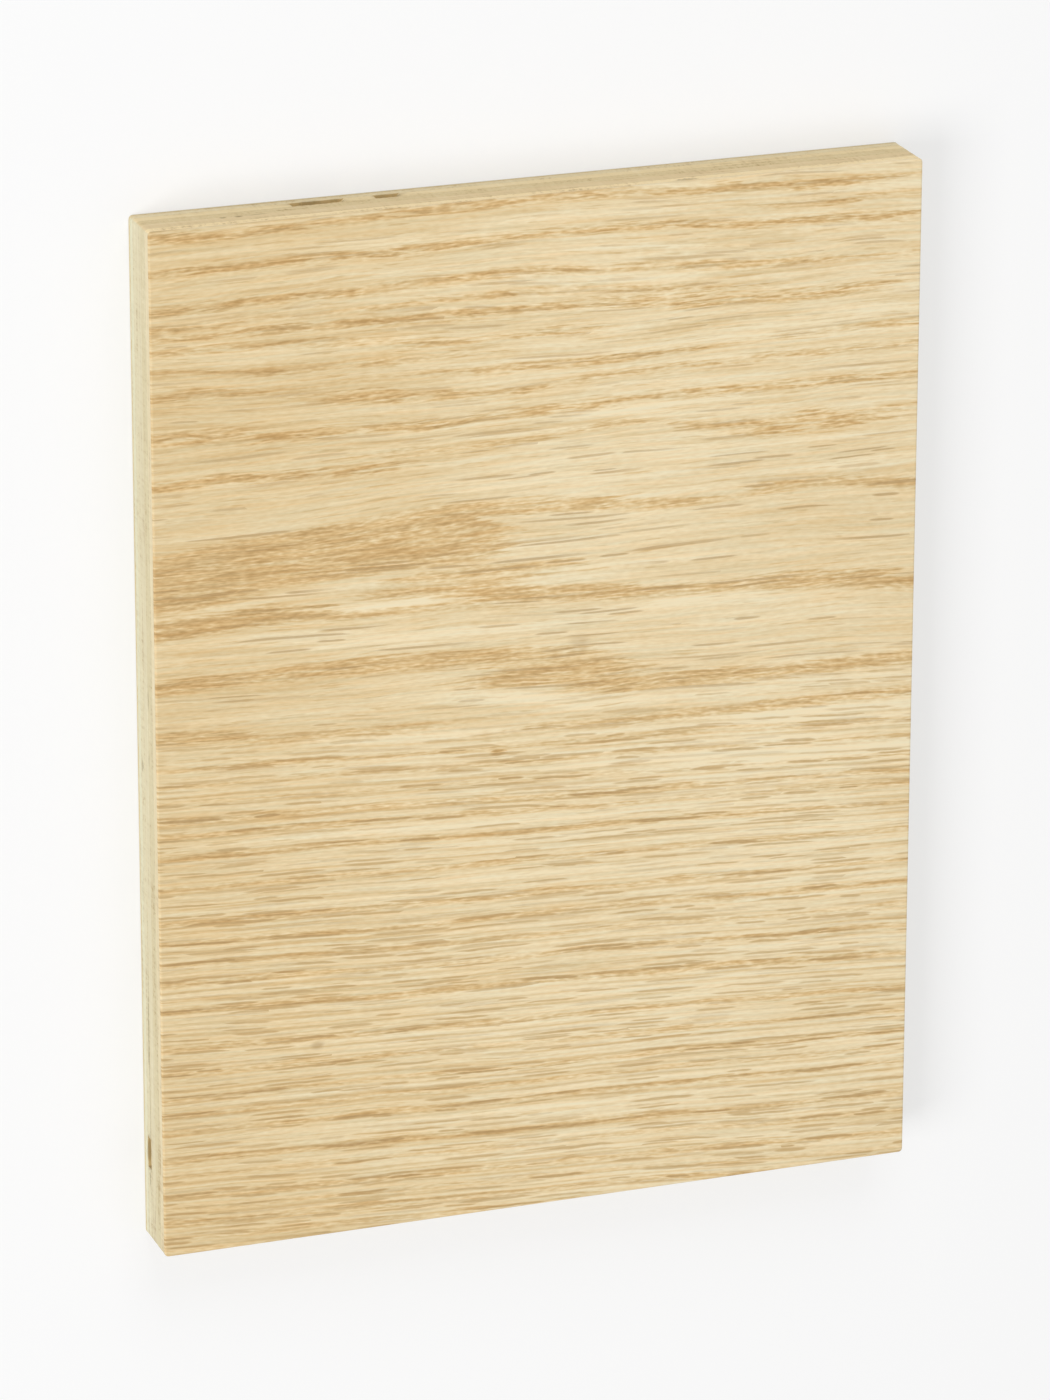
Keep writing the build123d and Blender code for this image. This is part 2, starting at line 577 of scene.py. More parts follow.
@dataclass(frozen=True)
class OakFigure:
    """The figure of the plain-sliced oak face, in millimetres from the left end and the top edge."""

    length: float
    height: float
    lower_rings: tuple[Ring, ...] = (
        Ring(104.7, 0.7), Ring(107.8, 0.6), Ring(111.2, 0.5), Ring(114.7, 1.0), Ring(117.4, 0.8),
        Ring(121.8, 0.95), Ring(128.2, 0.8), Ring(135.3, 0.95), Ring(139.4, 0.9), Ring(143.8, 0.6),
        Ring(147.5, 0.8), Ring(152.8, 0.95), Ring(160.5, 0.95), Ring(165.8, 0.85), Ring(170.8, 0.75),
        Ring(174.2, 0.75), Ring(177.6, 0.8), Ring(183.5, 0.9), Ring(186.8, 0.6), Ring(191.0, 0.85),
        Ring(193.6, 0.5), Ring(196.4, 0.85), Ring(199.4, 0.6), Ring(202.0, 0.5),
    )
    pale_rings: tuple[Ring, ...] = (
        Ring(102.0, 0.5), Ring(109.4, 0.9), Ring(126.0, 0.5), Ring(133.4, 0.8), Ring(142.0, 0.6),
        Ring(149.6, 1.0), Ring(155.2, 0.9), Ring(163.4, 0.8), Ring(168.6, 0.6), Ring(176.0, 0.5),
        Ring(181.2, 0.9), Ring(185.3, 1.0), Ring(189.3, 0.7), Ring(197.6, 0.6),
    )
    leans: tuple[tuple[float, float], ...] = (
        (0, 0.008), (8, 0.013), (15, 0.018), (22, 0.018), (36, 0.003), (60, 0.002), (85, 0.030),
        (105, 0.046), (115, 0.053), (135, 0.038), (155, 0.053), (175, 0.038), (195, 0.053), (203, 0.049),
    )
    top_bow: float = 1.5
    band_fade: tuple[float, float] = (0.95, -0.35)
    bands: tuple[FigureBand, ...] = (
        FigureBand((
            (0, 1.2, 0.5, 0.9), (14, 1.8, 0.5, 1.0), (28, 1.6, 0.4, 0.8), (45, 1.0, 0.5, 0.8),
            (70, 0.6, 0.6, 0.8), (95, 1.0, 0.4, 0.8), (118, 2.2, 0.5, 0.9), (130, 3.0, 0.5, 1.0),
            (146, 3.0, 0.4, 0.9), (152, 2.6, 0.3, 0.4),
        )),
        FigureBand((
            (0, 8.2, 0.5, 0.9), (30, 7.9, 0.5, 0.9), (46, 8.2, 0.7, 1.0), (62, 7.9, 0.5, 1.0),
            (80, 7.3, 0.5, 0.9), (92, 7.6, 0.5, 1.0), (110, 8.9, 0.5, 1.0), (130, 9.8, 0.5, 1.0),
            (152, 10.9, 0.5, 1.0),
        )),
        FigureBand((
            (0, 15.4, 0.5, 0.9), (22, 14.8, 0.5, 0.8), (34, 15.2, 0.5, 0.8), (55, 14.8, 0.5, 0.9),
            (75, 14.6, 0.6, 1.0), (86, 15.2, 0.5, 0.8), (100, 15.6, 0.5, 0.7), (112, 16.8, 0.7, 0.8),
            (126, 17.4, 0.6, 0.8), (140, 18.0, 0.4, 0.6), (152, 18.4, 0.4, 0.4),
        )),
        FigureBand((
            (0, 18.8, 0.4, 0.9), (10, 18.8, 0.4, 0.8), (22, 18.4, 0.3, 0.3), (42, 18.6, 0.3, 0.5),
            (54, 18.4, 0.5, 0.9), (62, 18.6, 0.3, 0.7), (70, 18.6, 0.5, 0.9), (80, 18.8, 0.4, 0.5),
            (95, 19.0, 0.4, 0.0), (111, 50.0, 0.4, 0.0), (118, 50.4, 1.2, 0.9), (126, 50.2, 1.6, 0.8),
            (134, 49.6, 2.0, 0.9), (142, 49.8, 1.2, 0.8), (150, 50.0, 0.5, 0.0),
        )),
        FigureBand((
            (0, 20.6, 0.4, 0.8), (30, 20.8, 0.5, 0.9), (55, 21.5, 0.6, 1.0), (75, 21.6, 0.6, 1.0),
            (88, 21.8, 0.5, 0.8), (100, 23.0, 0.7, 0.9), (112, 24.0, 0.7, 0.9), (130, 24.4, 0.8, 1.0),
            (142, 24.4, 0.6, 0.9), (150, 24.2, 0.4, 0.0),
        )),
        FigureBand((
            (0, 23.2, 0.5, 0.7), (18, 23.4, 0.4, 0.7), (30, 23.8, 0.4, 0.6), (44, 25.2, 0.4, 0.6),
            (56, 26.4, 0.5, 0.8), (66, 26.8, 0.3, 0.6), (78, 26.4, 0.6, 0.8), (86, 27.0, 0.4, 0.6),
            (94, 27.2, 0.3, 0.0), (112, 5.6, 0.2, 0.0), (126, 6.8, 0.3, 0.9), (136, 7.0, 0.3, 0.9),
            (142, 6.2, 0.3, 0.6), (152, 6.4, 0.2, 0.2),
        )),
        FigureBand((
            (0, 26.6, 0.3, 0.5), (8, 27.4, 0.3, 0.6), (14, 28.2, 0.4, 0.8), (21, 28.6, 0.4, 1.0),
            (28, 28.8, 0.3, 0.4), (45, 29.0, 0.4, 0.7), (56, 29.0, 0.3, 0.7), (75, 29.2, 0.3, 0.0),
            (80, 19.8, 0.5, 0.0), (92, 20.2, 1.3, 0.6), (105, 21.4, 1.1, 0.7), (118, 22.2, 0.7, 0.6),
            (126, 22.6, 0.4, 0.0),
        )),
        FigureBand((
            (0, 32.2, 0.7, 0.7), (8, 31.8, 1.0, 0.9), (14, 32.0, 0.7, 0.7), (24, 32.4, 0.3, 0.2),
            (50, 32.0, 0.3, 0.3), (60, 32.2, 0.5, 0.8), (75, 33.0, 0.6, 0.8), (90, 32.8, 0.5, 0.9),
            (104, 32.6, 0.4, 1.0), (114, 32.4, 0.3, 0.2), (138, 32.0, 0.4, 0.5), (152, 32.3, 0.4, 0.7),
        )),
        FigureBand((
            (24, 33.8, 0.4, 0.0), (34, 34.8, 0.5, 0.8), (42, 35.2, 1.0, 0.9), (48, 36.1, 0.9, 0.9),
            (60, 36.6, 0.5, 0.8), (72, 37.4, 0.5, 0.8), (80, 36.4, 0.4, 0.6), (90, 35.8, 0.4, 0.7),
            (106, 36.0, 0.4, 0.8), (126, 35.8, 0.4, 0.7), (152, 36.2, 0.3, 0.7),
        )),
        FigureBand((
            (0, 40.0, 1.0, 0.7), (15, 40.2, 0.9, 0.8), (22, 41.4, 0.6, 1.0), (32, 41.6, 0.6, 1.0),
            (46, 41.6, 0.5, 0.8), (56, 42.4, 0.6, 1.0), (64, 42.0, 0.4, 0.6), (74, 41.6, 0.9, 0.9),
            (84, 42.0, 0.6, 0.8), (96, 41.2, 0.5, 0.9), (106, 41.2, 0.6, 1.0), (118, 41.6, 0.4, 0.7),
            (130, 41.8, 0.6, 1.0), (152, 41.6, 0.5, 0.8),
        )),
        FigureBand((
            (0, 48.8, 0.7, 1.0), (12, 48.6, 0.5, 1.0), (20, 48.6, 0.4, 0.8), (25, 49.4, 0.5, 0.9),
            (40, 49.8, 0.6, 0.9), (46, 49.6, 0.4, 0.3), (54, 47.4, 0.4, 0.0), (58, 94.0, 0.6, 0.0),
            (67, 94.0, 1.8, 1.0), (80, 93.8, 2.4, 1.0), (90, 94.8, 2.0, 1.0), (97, 95.6, 0.9, 0.6),
            (104, 96.0, 0.6, 0.0),
        )),
        FigureBand((
            (30, 47.2, 0.3, 0.0), (50, 47.2, 0.5, 0.7), (60, 47.4, 0.3, 0.4), (72, 47.4, 0.4, 0.6),
            (80, 46.4, 0.3, 0.5), (90, 45.8, 0.4, 0.7), (100, 46.8, 0.3, 0.5), (105, 48.0, 0.4, 0.8),
            (118, 48.6, 0.5, 1.0), (128, 48.8, 0.5, 0.5),
        )),
        FigureBand((
            (0, 66.6, 4.6, 0.8), (15, 65.6, 5.0, 0.85), (30, 65.0, 5.2, 0.95), (45, 64.6, 5.2, 1.0),
            (58, 65.2, 4.6, 1.0), (66, 67.0, 2.8, 0.9), (71, 67.5, 1.6, 0.0), (78, 96.6, 0.6, 0.0),
            (86, 97.6, 1.2, 1.0), (98, 98.4, 1.3, 1.0), (112, 98.6, 1.2, 1.0), (126, 99.2, 1.0, 1.0),
            (152, 99.4, 1.1, 1.0),
        )),
        FigureBand((
            (30, 60.2, 0.8, 0.0), (50, 59.8, 1.0, 0.8), (66, 60.2, 1.3, 1.0), (80, 60.6, 1.4, 0.9),
            (92, 62.0, 0.9, 0.9), (102, 63.0, 0.7, 1.0), (113, 63.2, 0.5, 0.6), (122, 61.8, 0.7, 0.8),
            (136, 62.2, 0.9, 0.8), (152, 64.0, 1.0, 0.9),
        )),
        FigureBand((
            (0, 72.2, 0.9, 1.0), (10, 72.0, 1.1, 1.0), (18, 71.8, 0.6, 0.6), (26, 71.2, 0.5, 0.0),
            (45, 72.4, 0.4, 0.0), (51, 72.0, 0.7, 0.9), (66, 72.0, 0.7, 0.9), (80, 72.2, 0.6, 0.8),
            (85, 72.2, 0.4, 0.0),
        )),
        FigureBand((
            (0, 77.0, 1.8, 1.0), (14, 76.4, 1.5, 1.0), (24, 76.0, 1.5, 1.0), (30, 76.2, 1.3, 0.8),
            (38, 77.8, 0.7, 0.8), (58, 78.2, 0.6, 0.7), (70, 79.6, 0.7, 0.5), (78, 80.0, 0.6, 0.0),
        )),
        FigureBand((
            (37, 74.6, 0.4, 0.0), (45, 74.4, 0.8, 1.0), (60, 74.6, 0.7, 1.0), (72, 74.4, 0.8, 0.9),
            (78, 74.8, 0.5, 0.0),
        )),
        FigureBand((
            (55, 76.4, 0.6, 0.0), (62, 76.6, 1.4, 1.0), (72, 76.8, 1.5, 1.0), (80, 77.8, 1.5, 1.0),
            (90, 79.2, 1.4, 1.0), (98, 79.9, 0.9, 1.0), (106, 80.2, 0.7, 0.8), (120, 80.7, 1.0, 0.9),
            (130, 81.0, 2.0, 1.0), (140, 82.3, 1.5, 1.0), (152, 84.2, 1.3, 1.0),
        )),
        FigureBand((
            (0, 88.3, 1.3, 1.0), (20, 87.8, 1.1, 0.9), (40, 88.2, 1.5, 1.0), (60, 89.2, 1.3, 1.0),
            (76, 89.8, 1.6, 0.9), (88, 91.0, 1.2, 0.6), (96, 92.0, 0.8, 0.0),
        )),
        FigureBand((
            (0, 98.0, 0.9, 0.9), (10, 98.8, 0.8, 0.8), (24, 100.8, 0.7, 0.8), (50, 101.9, 0.7, 0.7),
            (64, 102.2, 0.5, 0.0),
        )),
        FigureBand((
            (58, 104.6, 0.4, 0.0), (84, 105.0, 0.6, 0.7), (104, 105.8, 0.7, 0.9), (126, 106.0, 0.9, 1.0),
            (152, 106.1, 0.7, 1.0),
        )),
    )
    pale_bands: tuple[FigureBand, ...] = (
        FigureBand((
            (0, 79.8, 0.6, 0.6), (20, 80.4, 1.0, 0.9), (35, 81.8, 1.5, 1.0), (50, 83.2, 1.1, 1.0),
            (70, 84.2, 0.9, 1.0), (80, 83.6, 0.7, 0.6), (106, 82.6, 0.7, 0.9), (116, 83.0, 0.6, 0.8),
            (132, 85.2, 0.7, 0.3), (142, 86.4, 0.6, 0.0),
        )),
        FigureBand((
            (45, 96.0, 0.5, 0.0), (56, 96.4, 0.7, 0.7), (66, 97.6, 0.8, 1.0), (76, 98.9, 0.9, 1.0),
            (88, 101.0, 1.0, 0.8), (100, 101.6, 0.8, 0.7), (125, 101.9, 0.6, 0.6), (152, 102.2, 0.5, 0.5),
        )),
        FigureBand((
            (26, 102.6, 0.5, 0.0), (36, 102.8, 0.7, 0.9), (50, 103.6, 0.7, 0.8), (66, 104.4, 0.5, 0.8),
            (85, 106.4, 0.5, 0.5), (104, 107.4, 0.6, 0.5), (131, 108.2, 1.1, 1.0), (145, 108.6, 0.6, 0.4),
            (152, 108.8, 0.5, 0.0),
        )),
        FigureBand((
            (0, 74.4, 0.3, 0.5), (14, 73.8, 0.5, 0.8), (26, 72.8, 0.5, 0.8), (42, 72.2, 0.4, 0.5),
            (48, 71.4, 0.4, 0.0), (80, 112.4, 0.5, 0.0), (96, 113.6, 0.7, 0.6), (110, 114.8, 1.0, 1.0),
            (120, 116.4, 0.6, 0.6), (140, 117.0, 0.5, 0.8), (152, 117.4, 0.5, 0.8),
        )),
        FigureBand((
            (30, 75.6, 0.3, 0.0), (40, 76.6, 0.5, 0.8), (56, 76.4, 0.4, 0.8), (62, 76.0, 0.3, 0.0),
            (110, 111.4, 0.5, 0.0), (122, 113.0, 0.8, 1.0), (132, 113.8, 0.6, 0.8), (142, 115.0, 0.5, 0.0),
        )),
    )
    flecks: tuple[Fleck, ...] = (
        Fleck(67.6, 108.6, 1.8, 0.6, 2.0),
    )
    grey_flecks: tuple[Fleck, ...] = (
        Fleck(83.9, 88.5, 2.0, 1.6, 0.45),
        Fleck(31.0, 163.8, 1.4, 0.9, 0.8),
    )
    pore_lines: tuple[Strokes, ...] = (
        Strokes(28.0, 1.8, 0.62, 0.20, 0.34, 0.0),
        Strokes(14.0, 1.5, 0.42, 0.18, 0.30, 31.7),
    )
    upper_strokes: tuple[Strokes, ...] = (
        Strokes(44.0, 3.0, 0.75, 0.45, 0.85, 13.1),
        Strokes(24.0, 2.2, 0.50, 0.30, 0.55, 83.7),
    )
    lower_strokes: tuple[Strokes, ...] = (
        Strokes(19.0, 1.5, 0.66, 0.24, 0.40, 53.3),
        Strokes(12.0, 1.9, 0.46, 0.20, 0.34, 95.4),
    )
    sway: Texture = Texture(60, 22, 3.1)
    ripple: Texture = Texture(24, 5.0, 7.7)
    fray: Texture = Texture(5, 1.8, 61.0)
    long_streaks: Texture = Texture(30, 0.85, 1.3, 3.0, 0.62)
    short_streaks: Texture = Texture(12, 0.65, 9.3, 2.0, 0.55)
    broad_streaks: Texture = Texture(80, 2.2, 17.0, 2.0)
    fine_streaks: Texture = Texture(10, 0.55, 5.0, 2.0)
    steady_lines: Texture = Texture(120, 0.80, 67.0)
    hairs: Texture = Texture(42, 0.75, 29.0)
    grit: Texture = Texture(2.0, 0.42, 37.0)
    drift: Texture = Texture(70, 45, 23.0)
    breaks: Texture = Texture(7.0, 0.7, 53.0)
    tint: Texture = Texture(18, 0.7, 47.0, 3.0, 0.62)
    crowding: Texture = Texture(30, 6.0, 41.0)

    def fibres(self, bench: Bench, at: Field) -> Fibres:
        """Works out how the fibres run, in a material's tree or in a shape's tree.

        Args:
            bench: The bench on either kind of tree.
            at: The point on the riser, in metres.

        Returns:
            The fibres there.
        """
        x, y, _ = bench.parts(at)
        left = x * PER_MM + self.length / 2
        down = self.height / 2 - y * PER_MM
        sway = self.sway.over(bench, left, down)
        ripple = self.ripple.over(bench, left, down)
        lower = down.eased(88, 114)
        wander = (sway * 0.28 + ripple * 0.12) * lower.spread(1.0, 0.6)
        level = self._level(bench, left, down) + wander
        frayed = level + self.fray.over(bench, left, level) * 0.04
        pore_lines = self._strokes(bench, self.pore_lines, left, level)
        strokes = self._strokes(bench, self.lower_strokes, left, frayed)
        return Fibres(left, down, wander, level, frayed, lower, pore_lines, strokes)

    def grain(self, bench: Bench, fibres: Fibres) -> OakGrain:
        """Works out the colours of the figure.

        Args:
            bench: The bench on the face's material.
            fibres: The fibres at the point.

        Returns:
            The grain there.
        """
        growth = self._growth(bench, fibres)
        tint = self.tint.over(bench, fibres.left, fibres.level)
        warmth = tint * 0.19 + growth.spring * 0.30 + 0.42
        return OakGrain(self._tone(bench, fibres, growth), warmth, self._pores(bench, fibres, growth))

    def _growth(self, bench: Bench, fibres: Fibres) -> Growth:
        """Lays out the growth lines, frayed by the streaks.

        Args:
            bench: The bench to build on.
            fibres: The fibres at the point.

        Returns:
            The growth there.
        """
        left, down, level, lower = fibres.left, fibres.down, fibres.level, fibres.lower
        long_streaks = self.long_streaks.over(bench, left, level)
        short_streaks = self.short_streaks.over(bench, left, level)
        streaks = long_streaks + (short_streaks - long_streaks) * lower
        rings = self._rings(bench, self.lower_rings, 0.78, left, level + streaks * 0.10)
        summer = self._rings(bench, self.pale_rings, 0.45, left, level + streaks * 0.05)
        for fleck in self.flecks:
            rings = rings.most(self._fleck(fleck, left, down, streaks))
        frayed_left = left + streaks * 2.0
        frayed_down = down + fibres.wander * 0.35 + short_streaks * 0.14
        pale = self._bands(bench, self.pale_bands, frayed_left, frayed_down)
        broken = self.breaks.over(bench, left, level).eased(-1.1, 0.7).spread(0.65, 1.6)
        bands = self._bands(bench, self.bands, frayed_left, frayed_down)
        bands = bands * (1.0 + (broken - 1.0) * down.eased(57, 51))
        return Growth(
            rings=rings,
            bands=bands,
            spring=rings.most(bands),
            summer=summer,
            pale=pale,
            heart=down.eased(50, 58) * level.eased(104, 98),
            streaks=streaks,
            short_streaks=short_streaks,
            broad=self.broad_streaks.over(bench, left, level),
            steady=self.steady_lines.over(bench, left, level) * lower,
            strokes=fibres.strokes * rings.spread(0.65, 1.05),
        )

    def _tone(self, bench: Bench, fibres: Fibres, growth: Growth) -> Field:
        """How pale the wood is.

        Args:
            bench: The bench to build on.
            fibres: The fibres at the point.
            growth: The growth there.

        Returns:
            The tone, from dark at zero to pale at one.
        """
        left, level, lower = fibres.left, fibres.level, fibres.lower
        hairs = self.hairs.over(bench, left, level).eased(0.4, 1.3)
        grit = self.grit.over(bench, left, level)
        drift = self.drift.over(bench, left, fibres.down)
        tone = self._painted_shade_and_heart(fibres, growth) + 0.895 - self._darkness(bench, fibres, growth)
        tone = tone - hairs * lower.spread(0.06, 0.03) + growth.streaks * lower.spread(0.04, 0.02)
        tone = tone - growth.steady * 0.05 + growth.broad * lower.spread(0.03, 0.015) + drift * 0.02
        tone = tone + grit * (growth.spring * 0.07 + 0.03)
        return tone * 1.09 - 0.065 + growth.pale * 0.18 + growth.summer * 0.10

    @staticmethod
    def _painted_shade_and_heart(fibres: Fibres, growth: Growth) -> Field:
        """Painted shade: darker at the left end, paling to the middle and darker again further on; also
        darker in the heart and towards the top and bottom edges.

        Args:
            fibres: The fibres at the point.
            growth: The growth there.

        Returns:
            What this adds to the tone.
        """
        left, down = fibres.left, fibres.down
        # Painted shade across the face from left to right, with the heart a little darker.
        painted_shade_and_heart = left.eased(-60, 115).spread(-0.27, 0.0) - left.eased(115, 160) * 0.04 - growth.heart * 0.025
        return painted_shade_and_heart - down.eased(24, 4) * 0.025 - down.eased(150, 180) * 0.028

    def _darkness(self, bench: Bench, fibres: Fibres, growth: Growth) -> Field:
        """How much the vessels, the scores and the strokes darken the wood.

        Args:
            bench: The bench to build on.
            fibres: The fibres at the point.
            growth: The growth there.

        Returns:
            What they take from the tone.
        """
        left, level, lower, heart = fibres.left, fibres.level, fibres.lower, growth.heart
        spring, short_streaks = growth.spring, growth.short_streaks
        high = self._strokes(bench, self.upper_strokes, left, fibres.frayed + growth.streaks * 0.15)
        high = high * spring.spread(0.6, 0.8) * heart.spread(1.0, 0.2) * 0.22
        lines = (growth.steady + short_streaks * 0.45).eased(0.5, 1.5)
        strokes = high + ((growth.strokes * 0.36).most(lines * 0.13) - high) * lower
        crowded = short_streaks * lower.spread(0.50, 0.70) + growth.broad * lower.spread(0.35, 0.20)
        crowded = crowded + (growth.rings * 1.8).most(growth.bands * 1.65) - 0.2
        vessels = crowded.eased(1.15, 1.95)
        fine = self.fine_streaks.over(bench, left, level)
        scores = (fine + spring * 1.1 - lower * 0.2).eased(1.35, 2.1)
        darker = vessels * (lower.spread(0.13, 0.21) + heart * 0.10) + spring * 0.16
        darker = darker + scores * 0.18 + strokes
        return darker.least(darker * 0.5 + 0.22)

    def _pores(self, bench: Bench, fibres: Fibres, growth: Growth) -> Field:
        """Where the grey-brown pores and flecks show.

        Args:
            bench: The bench to build on.
            fibres: The fibres at the point.
            growth: The growth there.

        Returns:
            How strongly they show.
        """
        crowd = self.crowding.over(bench, fibres.left, fibres.level).eased(-1.2, 0.6)
        near = crowd + (growth.spring.spread(0.55, 1.0) - crowd) * fibres.lower
        pores = fibres.pore_lines * near * growth.heart.spread(0.63, 0.9)
        pores = pores.most(growth.strokes * fibres.lower * 0.80)
        for fleck in self.grey_flecks:
            pores = pores.most(self._fleck(fleck, fibres.left, fibres.down, growth.streaks))
        return pores

    def _level(self, bench: Bench, left: Field, down: Field) -> Field:
        """Where the fibre through a point meets the left end.

        Args:
            bench: The bench to build on.
            left: Distance from the left end.
            down: Distance from the top edge.

        Returns:
            The distance from the top edge at the left end.
        """
        steepest = max(lean for _, lean in self.leans)
        guess = down - left * down.eased(60, 110) * 0.045
        stops = [(place / self.height, grey(lean / steepest)) for place, lean in self.leans]
        lean, _, _ = bench.parts(bench.ramp(guess / self.height, stops))
        from_middle = left / (self.length / 2) - 1.0
        bow = (1.0 - from_middle * from_middle) * down.eased(22, 12) * self.top_bow
        return down - left * lean * steepest + bow

    def _rings(
        self, bench: Bench, rings: tuple[Ring, ...], breadth: float, left: Field, level: Field
    ) -> Field:
        """The thin lines of spring or summer growth below the heart.

        Args:
            bench: The bench to build on.
            rings: The lines, from the top down.
            breadth: How broad the lines are, where one is the usual breadth.
            left: Distance from the left end.
            level: Where the fibre meets the left end, frayed by the streaks.

        Returns:
            How strongly the lines show.
        """
        margin, strongest = 5.0, 1.2
        start = rings[0].place - margin
        reach = rings[-1].place + margin - start
        edges = [start, *((above.place + below.place) / 2 for above, below in zip(rings, rings[1:]))]
        stops = []
        for number, (edge, ring) in enumerate(zip(edges, rings)):
            facts = ((ring.place - start) / reach, ring.strength / strongest, number / len(rings), 1.0)
            stops.append(((edge - start) / reach, facts))
        nearest = bench.ramp((level - start) / reach, stops, "CONSTANT")
        place, strength, number = bench.parts(nearest)
        apart = abs(level - start - place * reach)
        along, across = left / 34, number * (7.3 * len(rings))
        luck = bench.noise(bench.vector(along, across, start), 1.0).eased(0.28, 0.66)
        line = (apart / (strength * 0.72 + 0.70) / breadth).eased(1.0, 0.25)
        return line * luck.spread(0.75, 1.0) * strength * strongest

    def _bands(self, bench: Bench, bands: tuple[FigureBand, ...], left: Field, down: Field) -> Field:
        """The broad bands of spring or summer growth that wrap the islands of the heart.

        Args:
            bench: The bench to build on.
            bands: The bands.
            left: Distance from the left end, frayed by the streaks.
            down: Distance from the top edge, with the grain's wander in it.

        Returns:
            How far each point lies in a band.
        """
        along, across = left / self.length, down / self.height
        outermost, innermost = (edge / self.height for edge in self.band_fade)
        total: Optional[Field] = None
        for band in bands:
            stops = [
                (from_left / self.length, (from_top / self.height, half / self.height, 0.0, strength))
                for from_left, from_top, half, strength in band.stations
            ]
            course = bench.add("ShaderNodeValToRGB", {"stops": stops}, {"Fac": along})
            middle, half_width, _ = bench.parts(bench.output(course, "Color"))
            past = abs(across - middle) - half_width
            inside = past.eased(outermost, innermost) * bench.output(course, "Alpha")
            total = inside if total is None else total.most(inside)
        return total

    @staticmethod
    def _fleck(fleck: Fleck, left: Field, down: Field, streaks: Field) -> Field:
        """One small mark, frayed along the grain.

        Args:
            fleck: The mark.
            left: Distance from the left end.
            down: Distance from the top edge.
            streaks: The streaks that fray it.

        Returns:
            How strongly it shows.
        """
        across = (down - fleck.from_top) / fleck.half_width
        along = (left - fleck.from_left) / fleck.half_length
        reach = (across * across + along * along).root() - streaks * 0.12
        return reach.eased(1.4, 0.3) * fleck.strength

    @staticmethod
    def _strokes(bench: Bench, layers: tuple[Strokes, ...], left: Field, level: Field) -> Field:
        """Short lines strewn along the grain.

        Args:
            bench: The bench to build on.
            layers: The layers of lines, one over the other.
            left: Distance from the left end.
            level: Distance from the top edge, following the grain.

        Returns:
            How far each point lies in a line.
        """
        total: Optional[Field] = None
        for layer in layers:
            at_x, at_y = left / layer.pitch + layer.seed, level / layer.gauge + layer.seed
            sockets = {"Vector": bench.vector(at_x, at_y), "Scale": 1.0}
            cells = bench.add("ShaderNodeTexVoronoi", {"voronoi_dimensions": "2D"}, sockets)
            near_x, near_y, _ = bench.parts(bench.output(cells, "Position"))
            length_luck, width_luck, luck = bench.parts(bench.output(cells, "Color"))
            along = (at_x - near_x) / length_luck.spread(0.18, 0.50)
            across = (at_y - near_y) * layer.gauge / width_luck.spread(layer.thinnest, layer.thickest)
            reach = (along * along * along * along + across * across).root()
            line = reach.eased(1.0, 0.45) * luck.eased(layer.share, layer.share * 0.5)
            total = line if total is None else total.most(line)
        return total


@dataclass(frozen=True)
class OakFaceFinish:
    """Bare sanded oak: tan spring growth, cream summer growth and grey-brown pore lines."""

    figure: OakFigure
    tones: tuple[tuple[float, Rgb], ...] = (
        (0.00, (185, 152, 99)),
        (0.26, (201, 168, 116)),
        (0.50, (215, 186, 135)),
        (0.71, (226, 202, 156)),
        (0.86, (234, 213, 171)),
        (1.00, (241, 224, 186)),
    )
    warm_shift: Rgb = (4, -1, -5)
    pore: Rgb = (176, 144, 97)
    pore_share: float = 0.70
    sheen: float = 0.35

    def _wood(self, bench: Bench, tone: Field, side: int) -> Field:
        """The wood's colour on its warm side or its cool side.

        Args:
            bench: The bench to build on.
            tone: How pale the wood is.
            side: One for the warm side, minus one for the cool side.

        Returns:
            The colour.
        """
        stops = []
        for at, rgb in self.tones:
            red, green, blue = (level + side * shift for level, shift in zip(rgb, self.warm_shift))
            stops.append((at, linear((red, green, blue))))
        return bench.ramp(tone, stops)

    def material(self) -> bpy.types.Material:
        """Makes the face's material.

        Returns:
            The material.
        """
        material, bench = new_material("sanded_oak")
        place = bench.field("ShaderNodeTexCoord", key="Object")
        fibres = self.figure.fibres(bench, place)
        grain = self.figure.grain(bench, fibres)
        wood = bench.blend(grain.warmth, self._wood(bench, grain.tone, -1), self._wood(bench, grain.tone, 1))
        colour = bench.blend(grain.pores * self.pore_share, wood, linear(self.pore))
        relief = {"Strength": 0.5, "Distance": 0.08 * MM, "Height": 1.0 - fibres.pore_lines * 0.8}
        sockets = {
            "Base Color": colour,
            "Roughness": fibres.groove().spread(0.52, 0.78),
            "Specular IOR Level": self.sheen,
            "Normal": bench.field("ShaderNodeBump", {}, relief, "Normal"),
        }
        end_material(bench, sockets)
        return material


class SawnEdge(Enum):
    """An edge of the riser that shows the plies."""

    LEFT_END = "left end"
    TOP_EDGE = "top edge"


@dataclass(frozen=True)
class EdgeMark:
    """A dark spot or crack on a sawn edge, or painted shade at the mouth of a gap, in millimetres.

    The place is measured down from the top edge on the left end, and in from the left end on the top edge.
    """

    edge: SawnEdge
    place: float
    half_length: float
    height: float
    half_height: float
    strength: float


